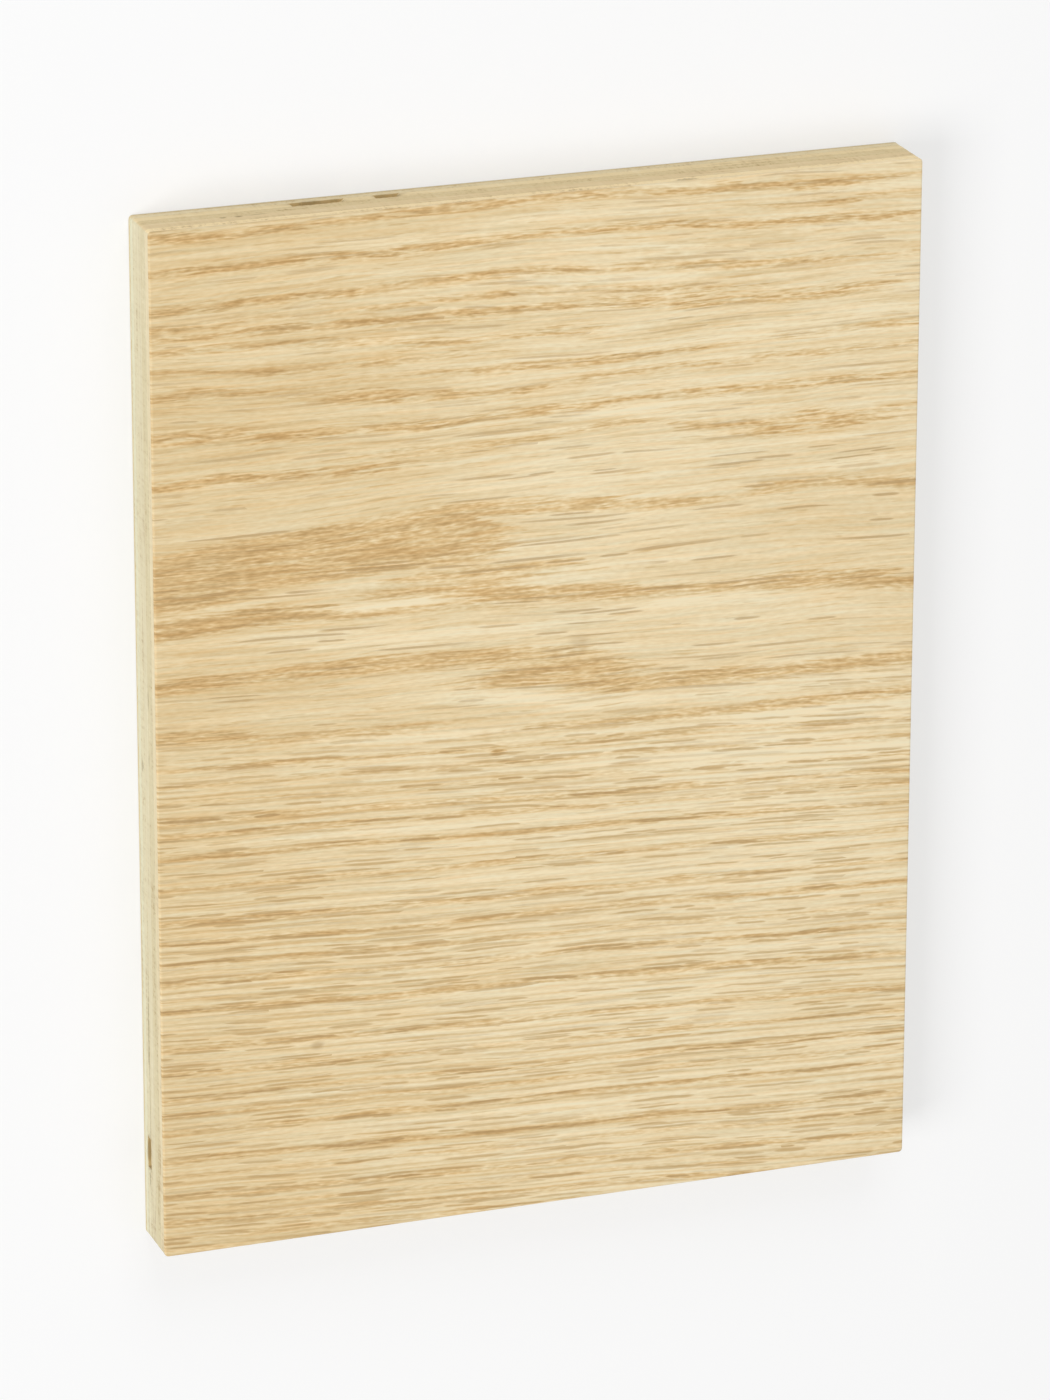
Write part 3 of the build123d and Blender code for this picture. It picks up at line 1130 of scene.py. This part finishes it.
@dataclass(frozen=True)
class PlyFinish:
    """The sawn edges of a pale core ply, which looks different on its ends and on its long edges, with
    painted shade inside its gaps.
    """

    name: str
    run: GrainRun
    on_ends: Rgb
    on_edges: Rgb
    half_length: float
    half_height: float
    underside: float
    upside: float
    marks: tuple[EdgeMark, ...] = ()
    stain: Rgb = (163, 132, 84)
    # The colour of the dark spots, cracks and glue, also painted as shade at the mouths of the gaps.
    dirt_and_gap_shade: Rgb = (120, 97, 56)
    # The darker colour painted inside the gaps as shade.
    painted_gap_shade: Rgb = (218, 194, 142)
    pale: Rgb = (248, 240, 216)

    def material(self) -> bpy.types.Material:
        """Makes the ply's material, as solid wood whose fibres lie along its grain.

        Returns:
            The material.
        """
        material, bench = new_material(self.name)
        coordinates = bench.add("ShaderNodeTexCoord")
        x, y, z = (axis * PER_MM for axis in bench.parts(bench.output(coordinates, "Object")))
        facing_x, facing_y, facing_z = bench.parts(bench.output(coordinates, "Normal"))
        along, across = (x, y) if self.run is GrainRun.LENGTHWISE else (y, x)
        facing = facing_x if self.run is GrainRun.LENGTHWISE else facing_y
        end_grain = abs(facing).eased(0.55, 0.85)
        fibre = bench.fuzz(bench.vector(along / 14, across / 0.8, z / 0.7), 3.0, 0.6)
        layers = bench.fuzz(bench.vector(along / 30, across / 22, z / 0.8), 2.0)
        saw = bench.fuzz(bench.vector(x / 0.75, y / 0.75, z / 5.0), 2.0)
        patch = bench.fuzz(bench.vector(x / 13, y / 13, z / 2.6), 2.0)
        pores = bench.fuzz(bench.vector(along / 4.0, across / 0.6, z / 0.55), 1.0)
        pores = pores.eased(1.0, 1.8) * end_grain
        glue = (z - self.underside).least(self.upside - z).eased(0.25, 0.03) * patch.eased(-1.2, 1.2)
        base = bench.blend(abs(facing_y).eased(0.4, 0.8), linear(self.on_ends), linear(self.on_edges))
        dark = pores * 0.14 + glue * 0.22 - fibre * 0.07 - layers * 0.08 - saw * 0.05 - patch * 0.06
        stained = bench.blend(dark.eased(0.0, 0.8), base, linear(self.stain))
        sawn = bench.blend((0.0 - dark).eased(0.0, 0.8) * 0.6, stained, linear(self.pale))
        # Painted shade: inside the gaps, and on the caps that show only there, the colour is darkened.
        inset = (self.half_length - abs(x)).least(self.half_height - abs(y))
        gap_shade_share = inset.eased(0.28, 0.5).most(abs(facing_z).eased(0.5, 0.9))
        colour = bench.blend(gap_shade_share, sawn, linear(self.painted_gap_shade))
        # The marks add real spots, cracks and glue, and painted shade at the mouths of the gaps.
        for mark in self.marks:
            colour = bench.blend(self._mark(mark, x, y, z, fibre), colour, linear(self.dirt_and_gap_shade))
        end_material(bench, {"Base Color": colour, "Roughness": 0.85, "Specular IOR Level": 0.2})
        return material

    def _mark(self, mark: EdgeMark, x: Field, y: Field, z: Field, fibre: Field) -> Field:
        """How strongly a mark shows at a point.

        Args:
            mark: The mark.
            x: Place along the riser.
            y: Place up the riser.
            z: Height of the point.
            fibre: The wood's fibres, which fray the mark.

        Returns:
            Its share of the colour.
        """
        if mark.edge is SawnEdge.LEFT_END:
            place, on_edge = self.half_height - y, x.below(1.0 - self.half_length)
        else:
            place, on_edge = x + self.half_length, y.above(self.half_height - 1.0)
        along = (place - mark.place) / mark.half_length
        across = (z - mark.height) / mark.half_height
        reach = (along * along + across * across).root() - fibre * 0.15
        return reach.eased(1.2, 0.4) * on_edge * mark.strength


@dataclass(frozen=True)
class BackFinish:
    """The plain backing veneer: pale, peeled wood with a wide, faint figure, and painted shade on its upper
    side, which shows only inside the gaps.
    """

    pale: Rgb = (231, 215, 178)
    dark: Rgb = (206, 181, 136)
    sawn: Rgb = (220, 212, 184)
    # The darker colour painted inside the gaps as shade.
    painted_gap_shade: Rgb = (218, 194, 142)

    def material(self) -> bpy.types.Material:
        """Makes the back's material.

        Returns:
            The material.
        """
        material, bench = new_material("backing_veneer")
        coordinates = bench.add("ShaderNodeTexCoord")
        x, y, _ = (axis * PER_MM for axis in bench.parts(bench.output(coordinates, "Object")))
        _, _, facing = bench.parts(bench.output(coordinates, "Normal"))
        drift = bench.noise(bench.vector(x / 190, y / 26, 4.0), 2.0) * 9.0
        apart = abs(drift - drift.nearest_whole())
        fibre = bench.noise(bench.vector(x / 50, y / 1.6, 9.0), 4.0, 0.75)
        share = apart.eased(0.36, 0.0) * 0.24 + fibre.eased(0.25, 0.75) * 0.6
        back = bench.blend(share, linear(self.pale), linear(self.dark))
        edged = bench.blend(abs(facing).eased(0.6, 0.3), back, linear(self.sawn))
        # Painted shade: the upper side, seen only inside the gaps, takes the darker gap colour.
        colour = bench.blend(facing.eased(0.5, 0.9), edged, linear(self.painted_gap_shade))
        end_material(bench, {"Base Color": colour, "Roughness": 0.7, "Specular IOR Level": 0.3})
        return material


class OuterSide(Enum):
    """Which side of a veneer is the outside of the riser."""

    UP = 1
    DOWN = -1


@dataclass(frozen=True)
class VeneerSlab:
    """A thin sheet with a fine grid on its outer side, rounded corners and an eased arris."""

    name: str
    node: str
    outer: OuterSide
    column_step: float
    row_step: float
    corner: float = 0.8 * MM
    arris: float = 0.3 * MM
    rim: tuple[float, ...] = (0.0, 0.05 * MM, 0.14 * MM, 0.30 * MM, 0.52 * MM, 0.80 * MM)

    def stations(self, length: float, step: float) -> list[float]:
        """The grid lines across one side: close together near both rims, even between them.

        Args:
            length: The side's length.
            step: The even spacing.

        Returns:
            The lines' places from the middle, in order.
        """
        inner = length - 2 * self.rim[-1]
        count = round(inner / step)
        even = [self.rim[-1] + inner * number / count for number in range(1, count)]
        places = [*self.rim, *even, *(length - offset for offset in reversed(self.rim))]
        return [place - length / 2 for place in places]

    def _plan(self, x: float, y: float, half: Vector) -> tuple[float, float, float]:
        """Rounds the corners of the grid.

        Args:
            x: A grid line's place along the length.
            y: A grid line's place up the height.
            half: Half the sheet's length and height.

        Returns:
            The rounded place, and its distance from the rim.
        """
        over_x = abs(x) - (half.x - self.corner)
        over_y = abs(y) - (half.y - self.corner)
        if over_x <= 0 or over_y <= 0:
            return x, y, min(half.x - abs(x), half.y - abs(y))
        reach = max(over_x, over_y)
        scale = reach / math.hypot(over_x, over_y)
        round_x = math.copysign(half.x - self.corner + over_x * scale, x)
        round_y = math.copysign(half.y - self.corner + over_y * scale, y)
        return round_x, round_y, self.corner - reach

    def _eased(self, inset: float) -> float:
        """The shape of the arris.

        Args:
            inset: The distance in from the rim.

        Returns:
            How far the surface lies below the outer face there.
        """
        if inset >= self.arris:
            return 0.0
        return self.arris - math.sqrt(self.arris**2 - (self.arris - inset) ** 2)

    def mesh(self) -> bpy.types.Mesh:
        """Builds the closed sheet, in place.

        Returns:
            The sheet's mesh.
        """
        low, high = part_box(self.node)
        half = (high - low) / 2
        columns = self.stations(high.x - low.x, self.column_step)
        rows = self.stations(high.y - low.y, self.row_step)
        outer_z, inner_z = (high.z, low.z) if self.outer is OuterSide.UP else (low.z, high.z)
        wide, tall = len(columns), len(rows)
        points, faces = [], []
        for y in rows:
            for x in columns:
                plan_x, plan_y, inset = self._plan(x, y, half)
                points.append((plan_x, plan_y, outer_z - self.outer.value * self._eased(inset)))
        for row in range(tall - 1):
            for column in range(wide - 1):
                first = row * wide + column
                faces.append((first, first + 1, first + 1 + wide, first + wide))
        rim = [*range(wide), *range(2 * wide - 1, wide * tall, wide)]
        rim += [*range(wide * tall - 2, wide * (tall - 1) - 1, -1), *range(wide * (tall - 2), 0, -wide)]
        start = len(points)
        points += [(points[index][0], points[index][1], inner_z) for index in rim]
        for number, index in enumerate(rim):
            follow = (number + 1) % len(rim)
            faces.append((rim[follow], index, start + number, start + follow))
        faces.append(tuple(range(start + len(rim) - 1, start - 1, -1)))
        mesh = bpy.data.meshes.new(self.name)
        mesh.from_pydata(points, [], faces)
        shape = bmesh.new()
        shape.from_mesh(mesh)
        if self.outer is OuterSide.DOWN:
            bmesh.ops.reverse_faces(shape, faces=shape.faces[:])
        bmesh.ops.triangulate(shape, faces=[face for face in shape.faces if len(face.verts) > 4])
        shape.to_mesh(mesh)
        shape.free()
        return mesh


@dataclass(frozen=True)
class OakFace:
    """The oak face veneer, with its pore lines and short strokes cut into the surface."""

    slab: VeneerSlab
    figure: OakFigure
    groove_depth: float = 0.09 * MM

    def tree(self) -> bpy.types.NodeTree:
        """The geometry tree that cuts the lines into the outer side.

        Returns:
            The tree.
        """
        bench = new_shape_tree(
            "oak_relief",
            {
                "Slab": "NodeSocketGeometry",
                "Groove Depth": "NodeSocketFloat",
                "Finish": "NodeSocketMaterial",
            },
        )
        entry = bench.add("NodeGroupInput")
        place = bench.field("GeometryNodeInputPosition")
        _, _, up = bench.parts(bench.field("GeometryNodeInputNormal"))
        groove = self.figure.fibres(bench, place).groove()
        sunk = groove * bench.output(entry, "Groove Depth") * up.eased(0.5, 0.9)
        cut = bench.field(
            "GeometryNodeSetPosition",
            {},
            {"Geometry": bench.output(entry, "Slab"), "Offset": bench.vector(0.0, 0.0, sunk * -1.0)},
        )
        smooth = bench.field("GeometryNodeSetShadeSmooth", {}, {"Geometry": cut})
        return end_shape(bench, smooth, bench.output(entry, "Finish"))

    def build(self) -> bpy.types.Object:
        """Builds, cuts and dresses the face.

        Returns:
            The finished piece.
        """
        piece = new_piece(self.slab.name, self.slab.mesh())
        finish = OakFaceFinish(self.figure).material()
        grow(piece, self.tree(), {"Groove Depth": self.groove_depth, "Finish": finish})
        piece.data.set_sharp_from_angle(angle=SHARP_ANGLE)
        seat(piece, self.slab.node)
        return piece


@dataclass(frozen=True)
class BackVeneer:
    """The backing veneer, flat and plainly finished."""

    slab: VeneerSlab

    def build(self) -> bpy.types.Object:
        """Builds and dresses the back.

        Returns:
            The finished piece.
        """
        piece = new_piece(self.slab.name, self.slab.mesh())
        piece.data.materials.append(BackFinish().material())
        piece.data.shade_smooth()
        piece.data.set_sharp_from_angle(angle=SHARP_ANGLE)
        seat(piece, self.slab.node)
        return piece


@dataclass(frozen=True)
class CorePlies:
    """The sawn core plies, each following its packed outline with its open gaps."""

    finishes: tuple[tuple[str, PlyFinish], ...]
    wall_step: float = 0.40 * MM
    row_step: float = 0.24 * MM
    tear: float = 0.10 * MM

    def tree(self) -> bpy.types.NodeTree:
        """The geometry tree that walks a wall round a ply's outline and roughens it as a saw does.

        Returns:
            The tree.
        """
        bench = new_shape_tree(
            "sawn_ply",
            {
                "Ply": "NodeSocketGeometry",
                "Low": "NodeSocketFloat",
                "High": "NodeSocketFloat",
                "Columns": "NodeSocketInt",
                "Rows": "NodeSocketInt",
                "Tear": "NodeSocketFloat",
                "Finish": "NodeSocketMaterial",
            },
        )
        entry = bench.add("NodeGroupInput")
        low, high = bench.output(entry, "Low"), bench.output(entry, "High")
        loop = self._outline(bench, bench.output(entry, "Ply"))
        sheet = bench.field(
            "GeometryNodeMeshGrid",
            {},
            {
                "Size X": 1.0,
                "Size Y": 1.0,
                "Vertices X": bench.output(entry, "Columns"),
                "Vertices Y": bench.output(entry, "Rows"),
            },
            "Mesh",
        )
        across, up, _ = bench.parts(bench.field("GeometryNodeInputPosition"))
        walk = bench.add(
            "GeometryNodeSampleCurve",
            {"mode": "FACTOR", "use_all_curves": True},
            {"Curves": loop, "Factor": 0.5 - across},
        )
        x, y, _ = bench.parts(bench.output(walk, "Position"))
        ahead_x, ahead_y, _ = bench.parts(bench.output(walk, "Tangent"))
        z = low + (up + 0.5) * (high - low)
        depth = self._roughness(bench, x, y, z, up) * bench.output(entry, "Tear")
        placed = bench.field(
            "GeometryNodeSetPosition",
            {},
            {"Geometry": sheet, "Position": bench.vector(x + ahead_y * depth, y - ahead_x * depth, z)},
        )
        wall = self._weld(bench, placed)
        top = self._cap(bench, wall, high, False)
        bottom = self._cap(bench, wall, low, True)
        joined = bench.add("GeometryNodeJoinGeometry")
        for part in (bottom, top, wall):
            bench.tree.links.new(part.socket, joined.inputs[0])
        return end_shape(bench, self._weld(bench, bench.output(joined)), bench.output(entry, "Finish"))

    @staticmethod
    def _weld(bench: Bench, shape: Field) -> Field:
        """Joins points that lie on one another."""
        return bench.field("GeometryNodeMergeByDistance", {}, {"Geometry": shape, "Distance": WELD})

    def _outline(self, bench: Bench, ply: Field) -> Field:
        """The closed line round the top of a packed ply.

        Args:
            bench: The bench to build on.
            ply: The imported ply's mesh.

        Returns:
            The outline, gaps and all.
        """
        _, _, facing = bench.parts(bench.field("GeometryNodeInputNormal"))
        cap = bench.field(
            "GeometryNodeDeleteGeometry",
            {"domain": "FACE"},
            {"Geometry": self._weld(bench, ply), "Selection": facing.below(0.5)},
        )
        return self._rim(bench, cap, 1.0)

    @staticmethod
    def _rim(bench: Bench, shape: Field, chosen: Term) -> Field:
        """The open edges of a shape, as a curve.

        Args:
            bench: The bench to build on.
            shape: The open shape.
            chosen: One where an edge may be taken.

        Returns:
            The curve.
        """
        faces = bench.field("GeometryNodeInputMeshEdgeNeighbors", key="Face Count")
        picked = faces.below(1.5) * chosen
        return bench.field("GeometryNodeMeshToCurve", {}, {"Mesh": shape, "Selection": picked})

    def _cap(self, bench: Bench, wall: Field, height: Field, flipped: bool) -> Field:
        """Closes one end of a wall.

        Args:
            bench: The bench to build on.
            wall: The open wall.
            height: The level of the end.
            flipped: Whether the cap faces down.

        Returns:
            The cap.
        """
        x, y, z = bench.parts(bench.field("GeometryNodeInputPosition"))
        rim = self._rim(bench, wall, abs(z - height).below(2 * WELD))
        filled = bench.field("GeometryNodeFillCurve", {}, {"Curve": rim})
        sockets = {"Geometry": filled, "Position": bench.vector(x, y, height)}
        level = bench.field("GeometryNodeSetPosition", {}, sockets)
        return bench.field("GeometryNodeFlipFaces", {}, {"Mesh": level, "Selection": flipped})

    @staticmethod
    def _roughness(bench: Bench, x: Field, y: Field, z: Field, up: Field) -> Field:
        """How deep the saw tore the wall at a point, as a share of the full tear.

        Args:
            bench: The bench to build on.
            x: Place along the riser.
            y: Place up the riser.
            z: Height of the point.
            up: Place in the ply, from minus a half at its underside to a half at its top.

        Returns:
            The share torn away.
        """
        wide, tall, deep = x * PER_MM, y * PER_MM, z * PER_MM
        crumbs = bench.noise(bench.vector(wide / 0.9, tall / 0.9, deep / 0.6), 2.0)
        marks = bench.noise(bench.vector(wide / 0.6, tall / 0.6, deep / 6.0), 1.0)
        glue_line = abs(up).eased(0.44, 0.5)
        return crumbs.eased(0.35, 0.8) * 0.6 + marks.eased(0.4, 0.7) * 0.3 + glue_line * 0.5

    def build(self) -> list[bpy.types.Object]:
        """Builds and dresses every core ply.

        Returns:
            The finished pieces.
        """
        tree = self.tree()
        pieces = []
        for node, finish in self.finishes:
            low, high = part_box(node)
            piece = new_piece(f"{node}_ply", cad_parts[node].data.copy())
            girth = 2 * (high.x - low.x + high.y - low.y)
            inputs = {
                "Low": low.z,
                "High": high.z,
                "Columns": round(girth / self.wall_step) + 1,
                "Rows": round((high.z - low.z) / self.row_step) + 1,
                "Tear": self.tear,
                "Finish": finish.material(),
            }
            grow(piece, tree, inputs)
            piece.data.shade_smooth()
            piece.data.set_sharp_from_angle(angle=SHARP_ANGLE)
            seat(piece, node)
            pieces.append(piece)
        return pieces


@dataclass(frozen=True)
class Studio:
    """A pale floor, soft lamps and the photographer's place."""

    face_height: float
    half_length: float
    half_height: float
    view_left: float = math.radians(19.86)
    view_above: float = math.radians(19.68)
    roll: float = math.radians(0.10)
    distance: float = 1.3783
    aim_x: float = -3.3 * MM
    aim_y: float = 2.77 * MM
    lens: float = 187.13
    floor_size: float = 6.0
    floor_overlap: float = 0.5 * MM
    floor_colour: Rgb = (244, 244, 244)
    floor_glow: float = 0.5
    room_light: float = 0.52

    def camera(self) -> bpy.types.Object:
        """Stands the camera off to the left and towards the top edge, looking down at the face.

        Returns:
            The camera.
        """
        data = bpy.data.cameras.new("camera")
        data.sensor_width = 36.0
        data.lens = self.lens
        data.clip_end = 20.0
        level = math.cos(self.view_above)
        sideways, forwards = -math.sin(self.view_left) * level, math.cos(self.view_left) * level
        towards = Vector((sideways, math.sin(self.view_above), forwards))
        right = Vector((0, 1, 0)).cross(towards).normalized()
        right.rotate(Quaternion(towards, self.roll))
        upright = towards.cross(right)
        camera = bpy.data.objects.new("camera", data)
        bpy.context.scene.collection.objects.link(camera)
        place = Vector((self.aim_x, self.aim_y, self.face_height)) + towards * self.distance
        turned = camera.matrix_world.copy()
        for row in range(3):
            turned[row] = (right[row], upright[row], towards[row], place[row])
        camera.matrix_world = turned
        bpy.context.scene.camera = camera
        return camera

    def floor(self) -> bpy.types.Object:
        """Lays the floor round the riser and a little under it, open below so that the back can be seen.

        Returns:
            The floor.
        """
        half = self.floor_size / 2
        inside = (self.half_length - self.floor_overlap, self.half_height - self.floor_overlap)
        corners = []
        for across, along in ((half, half), inside):
            corners += [(-across, -along, 0), (across, -along, 0), (across, along, 0), (-across, along, 0)]
        sides = [(side, (side + 1) % 4, (side + 1) % 4 + 4, side + 4) for side in range(4)]
        mesh = bpy.data.meshes.new("floor")
        mesh.from_pydata(corners, [], sides)
        material, bench = new_material("studio_floor")
        rays = bench.add("ShaderNodeLightPath")
        seen = bench.output(rays, "Is Camera Ray").most(bench.output(rays, "Is Glossy Ray"))
        seen = seen.most(bench.output(rays, "Is Transmission Ray"))
        paper = bench.field("ShaderNodeBsdfDiffuse", {}, {"Color": linear(self.floor_colour)})
        glow = bench.field("ShaderNodeEmission", {}, {"Color": WHITE, "Strength": 1.0})
        mixed = bench.field("ShaderNodeMixShader", {}, {0: seen * self.floor_glow, 1: paper, 2: glow})
        bench.add("ShaderNodeOutputMaterial", {}, {"Surface": mixed})
        mesh.materials.append(material)
        floor = new_piece("floor", mesh)
        return floor

    @staticmethod
    def lamp(name: str, place: Vector, size: float, power: float) -> bpy.types.Object:
        """Hangs one soft square lamp that faces the riser.

        Args:
            name: The lamp's name.
            place: Where it hangs.
            size: Its side.
            power: Its power in watts.

        Returns:
            The lamp.
        """
        data = bpy.data.lights.new(name, "AREA")
        data.shape = "SQUARE"
        data.size = size
        data.energy = power
        lamp = bpy.data.objects.new(name, data)
        lamp.location = place
        lamp.rotation_mode = "QUATERNION"
        lamp.rotation_quaternion = (-place).to_track_quat("-Z", "Y")
        bpy.context.scene.collection.objects.link(lamp)
        return lamp

    def light(self) -> None:
        """Lights the room evenly, with the key lamp off the left end."""
        scene = bpy.context.scene
        scene.view_settings.view_transform = "Standard"
        world = bpy.data.worlds.new("room")
        world.use_nodes = True
        world.node_tree.nodes.clear()
        bench = Bench(world.node_tree)
        sky = bench.field("ShaderNodeBackground", {}, {"Color": WHITE, "Strength": self.room_light})
        bench.add("ShaderNodeOutputWorld", {}, {"Surface": sky})
        scene.world = world
        self.lamp("key_lamp", Vector((-1.5, -0.2, 1.4)), 1.0, 21.0)
        self.lamp("top_lamp", Vector((0.0, 1.5, 1.0)), 1.0, 7.0)
        self.lamp("fill_lamp", Vector((0.9, -0.5, 1.8)), 1.4, 3.0)

    def build(self) -> None:
        """Sets up the camera, the floor and the light."""
        self.camera()
        self.floor()
        self.light()


def core_ply(
    node: str, run: GrainRun, on_ends: Rgb, on_edges: Rgb, marks: tuple[EdgeMark, ...] = ()
) -> tuple[str, PlyFinish]:
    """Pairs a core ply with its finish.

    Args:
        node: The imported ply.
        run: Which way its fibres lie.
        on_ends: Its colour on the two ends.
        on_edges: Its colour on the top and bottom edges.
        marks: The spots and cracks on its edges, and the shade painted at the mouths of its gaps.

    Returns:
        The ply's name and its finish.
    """
    low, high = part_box(node)
    half = (high - low) / 2 * PER_MM
    return node, PlyFinish(
        node, run, on_ends, on_edges, half.x, half.y, low.z * PER_MM, high.z * PER_MM, marks
    )


def main() -> None:
    """Builds the riser and its studio."""
    logging.basicConfig(level=logging.INFO, format="%(message)s")
    low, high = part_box("oak_face_veneer")
    figure = OakFigure((high.x - low.x) * PER_MM, (high.y - low.y) * PER_MM)
    OakFace(VeneerSlab("oak_face", "oak_face_veneer", OuterSide.UP, 1.1 * MM, 0.33 * MM), figure).build()
    CorePlies(
        (
            core_ply("face_crossband", GrainRun.CROSSWISE, (223, 209, 174), (243, 221, 175), (
                EdgeMark(SawnEdge.TOP_EDGE, 105.0, 2.2, 11.6, 0.7, 0.45),
            )),
            core_ply("front_core", GrainRun.LENGTHWISE, (213, 201, 165), (224, 202, 159), (
                EdgeMark(SawnEdge.LEFT_END, 91.5, 2.6, 7.5, 0.5, 0.35),
                EdgeMark(SawnEdge.LEFT_END, 103.8, 1.8, 7.3, 0.5, 0.35),
                EdgeMark(SawnEdge.TOP_EDGE, 15.8, 0.9, 7.5, 0.5, 0.55),
                EdgeMark(SawnEdge.TOP_EDGE, 18.8, 0.9, 7.6, 0.5, 0.60),
                EdgeMark(SawnEdge.TOP_EDGE, 22.2, 2.6, 7.4, 0.3, 0.40),
            )),
            core_ply("centre_core", GrainRun.CROSSWISE, (218, 208, 176), (219, 199, 155)),
            core_ply("rear_core", GrainRun.LENGTHWISE, (219, 210, 178), (233, 213, 169), (
                EdgeMark(SawnEdge.LEFT_END, 106.2, 1.7, 3.3, 0.7, 0.40),
                EdgeMark(SawnEdge.LEFT_END, 159.0, 8.0, 4.2, 0.35, 0.35),
                EdgeMark(SawnEdge.LEFT_END, 164.5, 2.6, 4.1, 0.35, 0.40),
                EdgeMark(SawnEdge.LEFT_END, 168.0, 30.0, 4.4, 0.18, 0.35),
                # This mark paints shade in the mouth of the gap in the left end.
                EdgeMark(SawnEdge.LEFT_END, 185.3, 4.2, 3.5, 1.3, 0.50),
                EdgeMark(SawnEdge.LEFT_END, 190.6, 2.4, 3.7, 0.35, 0.45),
                # These two marks paint shade in the mouths of the gaps in the top edge.
                EdgeMark(SawnEdge.TOP_EDGE, 35.4, 6.6, 3.4, 1.4, 0.50),
                EdgeMark(SawnEdge.TOP_EDGE, 49.0, 3.4, 3.4, 1.3, 0.45),
            )),
            core_ply("back_crossband", GrainRun.CROSSWISE, (222, 218, 190), (226, 210, 172), (
                # These marks paint shade on the floors of the gaps in the ply above.
                EdgeMark(SawnEdge.LEFT_END, 185.0, 2.4, 2.4, 0.5, 0.40),
                EdgeMark(SawnEdge.TOP_EDGE, 34.0, 2.2, 2.4, 0.5, 0.28),
                EdgeMark(SawnEdge.TOP_EDGE, 39.0, 1.0, 2.4, 0.4, 0.20),
                EdgeMark(SawnEdge.TOP_EDGE, 48.4, 1.6, 2.4, 0.4, 0.12),
            )),
        )
    ).build()
    back = VeneerSlab("back_sheet", "back_veneer", OuterSide.DOWN, 4.0 * MM, 2.0 * MM, arris=0.2 * MM)
    BackVeneer(back).build()
    Studio(high.z, high.x, high.y).build()


if __name__ == "__main__":
    main()
